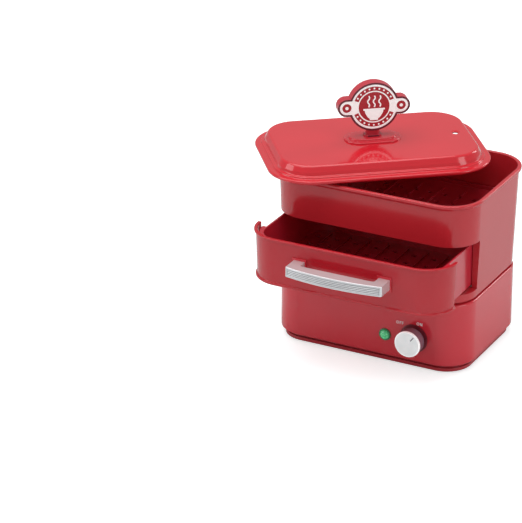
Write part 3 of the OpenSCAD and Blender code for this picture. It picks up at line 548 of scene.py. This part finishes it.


# The dial ring's dark plum colour is painted shade round the knob.
finish_node(rubber("dial_painted_shade", (0.2, 0.014, 0.026), rough=0.4, grain=140), "dial_ring")
finish_node(rubber("print_white", (0.95, 0.88, 0.89), rough=0.45, grain=900, change=0.08), "dial_marks")
knob_r = (knob_high.x - knob_low.x) / 2 / MM
knob_y = knob_low.y
bore_r, hub_r = 3.1, 10
section = rounded_path([
    (bore_r, -5.2, 0), (bore_r, -16.0, 0), (hub_r, -16.0, 0), (hub_r, -17.8, 0), (knob_r - 1.4, -17.9, 0.5),
    (knob_r - 1, -14, 0), (knob_r - 1, -4.6, 0.8), (knob_r - 2.4, -3.6, 0), (bore_r, -3.6, 0),
    (bore_r, -5.2, 0)])
bm = bmesh.new()
turned(bm, axial(section, knob_y), knob_x, knob_z, segments=80)
grips, grip_r = 40, 0.45 * MM
for i in range(grips):
    grip = pin_along_y(bm, 0, 0, grip_r, knob_y + 5.5 * MM, knob_y + 17 * MM, segments=8)
    bmesh.ops.translate(bm, verts=grip, vec=((knob_r - 1.05) * MM, 0, 0))
    bmesh.ops.rotate(bm, verts=grip, cent=(0, 0, 0), matrix=Matrix.Rotation(math.tau * i / grips, 3, "Y"))
    bmesh.ops.translate(bm, verts=grip, vec=(knob_x, 0, knob_z))
# The skirt's dark mauve tone is painted shade.
piece("knob_side", bm, turned_silver("knob_silver", (0.34, 0.2, 0.26), 0.16, 3, 0), "knob",
      ["knob_skirt"])
section = rounded_path([
    (0, -3.4, 0), (knob_r - 0.4, -3.4, 0.3), (knob_r, -3.0, 0), (knob_r, -1.0, 0.9), (knob_r - 1.2, 0, 0.8),
    (knob_r - 2.4, -0.5, 0.5), (knob_r - 3.2, -0.6, 0), (0, -0.35, 0)])
bm = bmesh.new()
turned(bm, axial(section, knob_y), knob_x, knob_z, segments=96)
rim_w, pointer_turn = 1.9, 38
for face in bm.faces:
    spot = face.calc_center_median()
    face.material_index = int(math.hypot(spot.x - knob_x, spot.z - knob_z) > (knob_r - rim_w) * MM)
# The pale cap gets a weak painted glow. The polished rim gets a stronger glow as painted highlight.
pale = turned_silver("knob_pale", (0.95, 0.965, 0.97), 0.34, 4, 0.11)
rim_painted_highlight = turned_silver("knob_rim_painted_highlight", (1, 1, 1), 0.2, 4, 0.32)
piece("knob_face", bm, [pale, rim_painted_highlight], "knob", ["knob_cap"])
mark_half, mark_in, mark_out = 0.8 * MM, 7.5 * MM, 14.5 * MM
bm = bmesh.new()
mark = box_between(bm, (-mark_half, knob_y + 0.1 * MM, mark_in), (mark_half, knob_y + 0.8 * MM, mark_out))
bmesh.ops.rotate(bm, verts=mark, cent=(0, 0, 0), matrix=Matrix.Rotation(math.radians(pointer_turn), 3, "Y"))
bmesh.ops.translate(bm, verts=mark, vec=(knob_x, 0, knob_z))
soften(bm, bm.edges[:], 0.12 * MM, 2)
piece("knob_pointer", bm, rubber("pointer_grey", (0.3, 0.27, 0.29), rough=0.4, grain=300), "knob")


# Housing.
# A tall moulding without top and bottom that leans out a little towards its rolled rim. Its foot is
# set back, which leaves a dark gap over the base. The front is open for the drawer from the sill up,
# with a narrow return on each side wall.
house_low, house_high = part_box("housing")
house_z0, rim_z = house_low.z / MM, house_high.z / MM
house_in, wall, draft, rim_out = 1.5, 2.6, 4.6, 3
house_w, house_d, house_r = base_w - 2 * house_in, base_d - 2 * house_in, corner_r - house_in
panel_low, panel_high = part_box("drawer_front")
panel_z0, panel_z1 = panel_low.z / MM, panel_high.z / MM
bay_gap, foot_h = 1.5, 1.5
sill_z, bay_top = panel_z0 - bay_gap, panel_z1 + bay_gap
jamb_y = -house_d / 2 + house_r + 1


def lean(z):
    """How far the housing's wall has moved out at a height, in mm."""
    return draft * (z - base_z1 - foot_h) / (rim_z - base_z1 - foot_h)


lip_z, foot_in, foot_back, ledge_in, ledge_t = base_z1 + 2.9, 5, 7.4, 16.6, 2.4
rim_low, bay_in = rim_z - 6.5, wall + 0.8
section = rounded_path([
    (foot_in, house_z0, 0.2), (foot_in, lip_z, 0.3), (0, lip_z, 0.6), (-lean(rim_low), rim_low, 1.4),
    (-draft - rim_out, rim_z - 3.6, 1.2), (-draft - rim_out, rim_z, 1.5), (wall - draft, rim_z, 1.0),
    (wall - lean(bay_top), bay_top, 0), (bay_in - lean(bay_top), bay_top, 0),
    (bay_in - lean(sill_z), sill_z + 0.05, 0), (ledge_in, sill_z + 0.05, 0.5),
    (ledge_in, sill_z - ledge_t, 0.5), (wall, sill_z - ledge_t, 0), (wall, base_z1 + 6.5, 0),
    (foot_back, base_z1 + 4.6, 0), (foot_back, house_z0, 0.3)], closed=True)
bm = bmesh.new()
sweep_outline(bm, house_w, house_d, house_r, section, segments=16)
bmesh.ops.transform(bm, matrix=at_centre, verts=bm.verts[:])
return_in, return_out, return_t = 131.5, 138.2, 2.6
returns = []
for side in (-1, 1):
    near, far = sorted((side * return_in * MM, side * return_out * MM))
    returns.append(as_bmesh(box_between, (centre.x + near, centre.y + jamb_y * MM, (sill_z - 1) * MM),
                            (centre.x + far, centre.y + (jamb_y + return_t) * MM, (bay_top - 0.1) * MM)))
clear = 0.2
opening = as_bmesh(box_between, (centre.x - clear, centre.y - clear, sill_z * MM),
                   (centre.x + clear, centre.y + jamb_y * MM, bay_top * MM))
# The housing's red is a darker copy of the base's red: painted shade.
piece("housing_shell", bm, plastic("red_tall_painted_shade", (0.55, 0.022, 0.032), coat=0.14), "base",
      ["housing"], joined=returns, cutters=[opening])
finish_node(rubber("slide_white", (0.74, 0.74, 0.71), rough=0.35, grain=200), "rail_left", "rail_right",
            "drawer_runners")


# Roll tray.
# A perforated tray with low ribs that carries the rolls over the steam. It lies loose on a frame in
# the housing and is lifted out by hand.
finish_node(red_inside, "roll_tray", "bin_frame")


# Sausage drawer.
# The front panel follows the housing's corners and has a bead along both edges. Behind it a deep box
# with a perforated floor slides on the rails; low ribs keep the lanes apart.
bead, bead_h, bead_end = 2.2, 2.9, 3.6
at_drawer = Matrix.Translation((centre.x, panel_low.y + (house_d / 2 + lean(panel_z1) + bead) * MM, 0))
low_out, high_out = -lean(panel_z0), -lean(panel_z1)
section = rounded_path([
    (low_out - bead, panel_z0, 0.9), (low_out - bead, panel_z0 + bead_h, 1.0),
    (-lean(panel_z0 + 3), panel_z0 + bead_end, 0.9), (-lean(panel_z1 - 4), panel_z1 - bead_end, 0.9),
    (high_out - bead, panel_z1 - bead_h, 1.0), (high_out - bead, panel_z1, 1.0),
    (wall + high_out, panel_z1, 0.7), (wall + low_out, panel_z0, 0.5)], closed=True)
bm = bmesh.new()
sweep_outline(bm, house_w, house_d, house_r, section, segments=16)
cut_behind(bm, (jamb_y - 0.6) * MM)
bmesh.ops.transform(bm, matrix=at_drawer, verts=bm.verts[:])
# The panel's red is a darker copy of the base's red: painted shade.
piece("drawer_panel", bm, plastic("red_drawer", (0.5, 0.012, 0.022), coat=0.1), "drawer",
      ["drawer_front"])
finish_node(plastic("red_box", (0.56, 0.02, 0.04), rough=0.22, coat=0.2), "drawer_box")
box_low, box_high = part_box("drawer_box")
box_w, box_wall, box_floor = 261, 2.4, 2.4
floor_z = box_low.z + box_floor * MM
lanes, rib_half, rib_up, rib_front, rib_back = 9, 0.7 * MM, 2.2 * MM, 22 * MM, 14 * MM
lane = (box_w - 2 * box_wall) / lanes * MM
bm = bmesh.new()
for i in range(1, lanes):
    x = centre.x + (i - lanes / 2) * lane
    box_between(bm, (x - rib_half, box_low.y + rib_front, floor_z - 0.3 * MM),
                (x + rib_half, box_high.y - rib_back, floor_z + rib_up))
soften(bm, bm.edges[:], 0.4 * MM, 2)
piece("lane_ribs", bm, red_inside, "drawer")


# Handle.
# A bowed bar in satin-silvered plastic on two small pads, held by screws from inside the box. Its
# front has a sunk field, painted dark as shade, with five fine ribs inside a smooth border.
handle_low, handle_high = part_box("handle_bar")
handle_y, handle_z = handle_low.y, (handle_low.z + handle_high.z) / 2
half, back = (handle_high.x - handle_low.x) / 2, handle_high.y - handle_low.y
post, thick, bow = 16 * MM, 11 * MM, 7 * MM
height = handle_high.z - handle_low.z
middle_x = (handle_low.x + handle_high.x) / 2
bow_r = (half * half + bow * bow) / 2 / bow
silver = plastic("satin_silver", (0.8, 0.78, 0.8), rough=0.22, coat=0.4, wave=0.01, edge=0.0)
silver.node_tree.nodes["Principled BSDF"].inputs["Metallic"].default_value = 0.5
groove_painted_shade = rubber("groove_painted_shade", (0.1, 0.11, 0.115), rough=0.5, grain=500)
bm = bmesh.new()
steps = 28
arc = []
for k in range(steps + 1):
    x = half * (2 * k / steps - 1)
    arc.append((x, bow_r - math.sqrt(bow_r * bow_r - x * x)))
inner, tiny = bow + thick, 1e-6
corners = [bm.verts.new((x, y, 0)) for x, y in arc + [
    (half, back), (half - post, back), (half - post, inner), (post - half, inner), (post - half, back),
    (-half, back)]]
bm.faces.new(corners)
soften(bm, [v for v in bm.verts if abs(v.co.y - inner) < tiny], 4 * MM, 6, "VERTICES")
top = bmesh.ops.extrude_face_region(bm, geom=bm.faces[:])["geom"]
bmesh.ops.translate(bm, verts=[v for v in top if isinstance(v, bmesh.types.BMVert)], vec=(0, 0, height))
bmesh.ops.recalc_face_normals(bm, faces=bm.faces[:])
ends = [e for e in bm.edges if abs(e.verts[0].co.z - e.verts[1].co.z) > 1e-4
        and all(abs(abs(v.co.x) - half) < tiny and abs(v.co.y - bow) < tiny for v in e.verts)]
soften(bm, ends, 2.2 * MM, 5, clamp=True)
rims = [e for e in bm.edges if abs(e.verts[0].co.z - e.verts[1].co.z) < 1e-7
        and min(e.verts[0].co.y, e.verts[1].co.y) < back - tiny]
edge_r, border, slope, depth = 0.9 * MM, 0.5 * MM, 0.25 * MM, 1.0 * MM
soften(bm, rims, edge_r, 4, clamp=True)
front = [f for f in bm.faces if f.normal.y < -0.9 and abs(f.calc_center_median().z - height / 2) < 1e-4
         and abs(f.calc_center_median().x) < half - 2.4 * MM]
for inset, sink in ((border, 0), (slope, -depth)):
    bmesh.ops.inset_region(bm, faces=front, thickness=inset, depth=sink, use_even_offset=True,
                           use_boundary=True)
# The sunk field takes the dark finish: painted shade.
for face in front:
    face.material_index = 1
bmesh.ops.translate(bm, verts=bm.verts[:], vec=(middle_x, handle_y, handle_low.z))
piece("handle", bm, [silver, groove_painted_shade], "drawer", ["handle_bar"])
bm = bmesh.new()
ribs = 5
reach = math.asin((half - 3.3 * MM) / bow_r)
pitch = (height - 2 * edge_r - 2 * border) / ribs
for i in range(ribs):
    ring = bmesh.ops.create_circle(bm, cap_ends=True, segments=12, radius=pitch * 0.37)["verts"]
    bmesh.ops.rotate(bm, verts=ring, matrix=Matrix.Rotation(math.radians(90), 3, "Y"))
    bmesh.ops.translate(bm, verts=ring, vec=(0, depth + 0.1 * MM - bow_r, (i + 0.5 - ribs / 2) * pitch))
    bmesh.ops.rotate(bm, verts=ring, cent=(0, 0, 0), matrix=Matrix.Rotation(-reach, 3, "Z"))
    sides = list({f for v in ring for f in v.link_faces})
    bmesh.ops.spin(bm, geom=sides + ring + list({e for v in ring for e in v.link_edges}), cent=(0, 0, 0),
                   axis=(0, 0, 1), angle=2 * reach, steps=steps)
bmesh.ops.recalc_face_normals(bm, faces=bm.faces[:])
bmesh.ops.translate(bm, verts=bm.verts[:], vec=(middle_x, handle_y + bow_r, handle_z))
piece("handle_grooves", bm, silver, "drawer")
finish_node(red, "handle_pads")


# Lid.
# A loose moulding with a flat flange, a stepped shoulder and a raised middle with a steam hole. A rib
# under it fits into the rim; here it lies askew on top of the rim.
def upright_pin(bm, x, y, radius, z0, z1, radius_end):
    """A round bar or cone along Z, closed at both ends."""
    made = bmesh.ops.create_cone(bm, cap_ends=True, segments=48, radius1=radius, radius2=radius_end,
                                 depth=z1 - z0)["verts"]
    bmesh.ops.translate(bm, verts=made, vec=(x, y, (z0 + z1) / 2))


lid_low, lid_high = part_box("lid_shell")
lid_w, lid_d, lid_r, lid_turn = 298, 199, 57, 38.3
rib_h, flange_top, vent_in, vent_r = 5, 4, 36, 4 * MM
lid_h = (lid_high.z - lid_low.z) / MM - rib_h
at_lid = (Matrix.Translation(((lid_low.x + lid_high.x) / 2, (lid_low.y + lid_high.y) / 2,
                              lid_low.z + rib_h * MM))
          @ Matrix.Rotation(math.radians(lid_turn), 4, "Z"))
over = rounded_path([
    (1.5, 0, 0), (0, 0, 1.2), (0, flange_top, 2.0), (8.2, flange_top, 1.2), (8.6, 6.3, 1.6), (12.2, 6.6, 1.6),
    (13.4, 11, 1.4), (17.8, lid_h, 4.2), (30, lid_h, 0)], steps=8)
under = rounded_path([
    (1.5, 0, 0), (10, 0, 0.3), (10, -rib_h, 0.6), (12.4, -rib_h, 0.6), (12.4, 1.4, 0.3), (15.7, 1.4, 0.6),
    (20, lid_h - 2.6, 1.5), (27, lid_h - 2.6, 0)])
bm = bmesh.new()
for section in (over, under):
    sweep_outline(bm, lid_w, lid_d, lid_r, section, closed=False, segments=18)
bmesh.ops.remove_doubles(bm, verts=bm.verts[:], dist=weld)
bmesh.ops.recalc_face_normals(bm, faces=bm.faces[:])
vent_x = (lid_w / 2 - vent_in) * MM
lid = piece("lid_moulding", bm, plastic("red_lid", (0.65, 0.015, 0.027), rough=0.13, coat=0.38), "lid",
            ["lid_shell"], cutters=[
                as_bmesh(upright_pin, vent_x, 0, vent_r, 0.01, 0.03, vent_r),
                as_bmesh(upright_pin, vent_x, 0, 5.4 * MM, (lid_h - 1.0) * MM, (lid_h + 0.5) * MM, 7.4 * MM)])
lid.data.transform(at_lid)


# Pedestal.
# A low two-step foot with rounded ends that stands on the lid and takes the screw of the plate.
foot_w, foot_d, foot_r = 76, 42, 20.5
step, tread, lift = 2.4, 6, 0.02
section = rounded_path([
    (0.5, lid_h + lift, 0), (0, lid_h + lift, 0.3), (0, lid_h + step, 1.4), (tread, lid_h + step, 0.5),
    (tread, lid_h + 2 * step, 1.4), (2 * tread, lid_h + 2 * step, 0)])
bm = bmesh.new()
sweep_outline(bm, foot_w, foot_d, foot_r, section, closed=False, segments=20)
bmesh.ops.holes_fill(bm, edges=[e for e in bm.edges if e.is_boundary], sides=0)
bmesh.ops.transform(bm, matrix=at_lid, verts=bm.verts[:])
piece("pedestal", bm, red, "lid", ["lid_boss"])


# Upright plate.
# A thick round moulding with two rounded ears, which serves as the lid's grip. Each side has a sunk
# field for a printed relief, inside a narrow edge whose front and back faces are painted dark as shade.
plate_t, plate_up, ears_w, ear_r, sunk = 15, 47, 97, 12, 1.2
plate_z = lid_h + plate_up
finish_node(plastic("red_plate", (0.52, 0.02, 0.04), rough=0.3, coat=0.12, edge=0.0011), "topper_body")
plate = nodes["topper_body"]
plate.data.materials.append(plastic("edge_painted_shade", (0.13, 0.008, 0.02), rough=0.3, coat=0.1))
facing = (at_lid.to_3x3() @ Vector((0, 1, 0))).normalized()
plate_middle = at_lid @ Vector((0, 0, plate_z * MM))
at_plate = plate.matrix_world
# Painted shade: the edge's faces that look to the front and back take the dark plum finish.
for face in plate.data.polygons:
    away = abs((at_plate @ face.center - plate_middle).dot(facing))
    flat = abs((at_plate.to_3x3() @ face.normal).dot(facing))
    if flat > 0.99 and away > (plate_t / 2 - 0.2) * MM:
        face.material_index = len(plate.data.materials) - 1


# Relief on the plate.
# A thin white inlay on each side, with raised rings and beads. Round the beads lie two red arcs, in
# the middle a red disc with a white bowl and three curls of steam, and in each ear a red spot with a
# white bead.
white_print = rubber("relief_white", (0.93, 0.95, 0.94), rough=0.4, grain=900, change=0.05)
red_print = rubber("relief_red", (0.44, 0.012, 0.024), rough=0.35, grain=900, change=0.08)
# The white print and inlay glow a little: painted light.
white_painted_glow = white_print.node_tree.nodes["Principled BSDF"]
white_painted_glow.inputs["Emission Color"].default_value = (1, 1, 1, 1)
white_painted_glow.inputs["Emission Strength"].default_value = 0.16
finish_node(white_print, "topper_front", "topper_back")


def arc_slab(bm, inner, outer, start, end, floor, top, steps=40):
    """A flat ring segment round the plate's middle, from angle start to end."""
    corners = [bm.verts.new((r, y, 0)) for r, y in (
        (inner, floor), (outer, floor), (outer, top), (inner, top))]
    face = bm.faces.new(corners)
    bmesh.ops.rotate(bm, verts=corners, cent=(0, 0, 0), matrix=Matrix.Rotation(-math.radians(start), 3, "Y"))
    bmesh.ops.spin(bm, geom=[face] + face.verts[:] + face.edges[:], cent=(0, 0, 0), axis=(0, 1, 0),
                   angle=-math.radians(end - start), steps=steps)
    if end - start >= 360:
        bmesh.ops.remove_doubles(bm, verts=bm.verts[:], dist=1e-7)
    bmesh.ops.recalc_face_normals(bm, faces=bm.faces[:])


def add_part(bm, part):
    """Adds one bmesh's faces to another."""
    spare = bpy.data.meshes.new("spare")
    part.to_mesh(spare)
    part.free()
    bm.from_mesh(spare)
    bpy.data.meshes.remove(spare)


def relief(side):
    """Makes the printed parts of one side and turns them to the front or the back."""
    turn = at_lid @ Matrix.Rotation(math.pi * (side == "back"), 4, "Z")
    floor = -plate_t / 2 + sunk - 0.3
    low, high = floor - 0.62, floor - 0.95
    floor, low, high = floor * MM, low * MM, high * MM
    ear_x, hub, band_in, band_out = (ears_w / 2 - ear_r) * MM, 0.01 * MM, 22.3 * MM, 28.1 * MM
    field_r, spot_r, bead_r, bowl_r = 20.6 * MM, 6.1 * MM, 2.2 * MM, 12.5 * MM
    curl_in, curl_out, curl_half, curl_up = 2.6 * MM, 4.3 * MM, 48, 5.1

    bm = bmesh.new()
    for start in (20, 200):
        arc_slab(bm, band_in, band_out, start, start + 140, floor, low)
    arc_slab(bm, hub, field_r, 0, 360, floor, low, steps=72)
    bmesh.ops.translate(bm, verts=bm.verts[:], vec=(0, 0, plate_z * MM))
    for ear in (-1, 1):
        spot = as_bmesh(arc_slab, hub, spot_r, 0, 360, floor, low, steps=36)
        bmesh.ops.translate(spot, verts=spot.verts[:], vec=(ear * ear_x, 0, plate_z * MM))
        add_part(bm, spot)
    bmesh.ops.transform(bm, matrix=turn, verts=bm.verts[:])
    piece(f"relief_red_{side}", bm, red_print, "lid")

    bm = bmesh.new()
    arc_slab(bm, hub, bowl_r, 180, 360, floor, high, steps=36)
    bmesh.ops.translate(bm, verts=bm.verts[:], vec=(0, 0, (plate_z - 4) * MM))
    for half_w, under, over in ((14.5, 4.6, 2.4), (5.5, 18.6, 15.6)):
        box_between(bm, (-half_w * MM, high, (plate_z - under) * MM),
                    (half_w * MM, floor, (plate_z - over) * MM))
    for x in (-7.5, 0, 7.5):
        for k, bend in enumerate((1, -1, 1)):
            middle = 0 if bend > 0 else 180
            curl = as_bmesh(arc_slab, curl_in, curl_out, middle - curl_half, middle + curl_half, floor, high,
                            steps=12)
            bmesh.ops.translate(curl, verts=curl.verts[:], vec=(
                (x - bend * 2.3) * MM, 0, (plate_z + 2.4 + k * curl_up) * MM))
            add_part(bm, curl)
    for ear in (-1, 1):
        add_part(bm, as_bmesh(pin_along_y, ear * ear_x, plate_z * MM, bead_r, high, floor, segments=32))
    bmesh.ops.transform(bm, matrix=turn, verts=bm.verts[:])
    piece(f"relief_white_{side}", bm, white_print, "lid")


for side in ("front", "back"):
    relief(side)
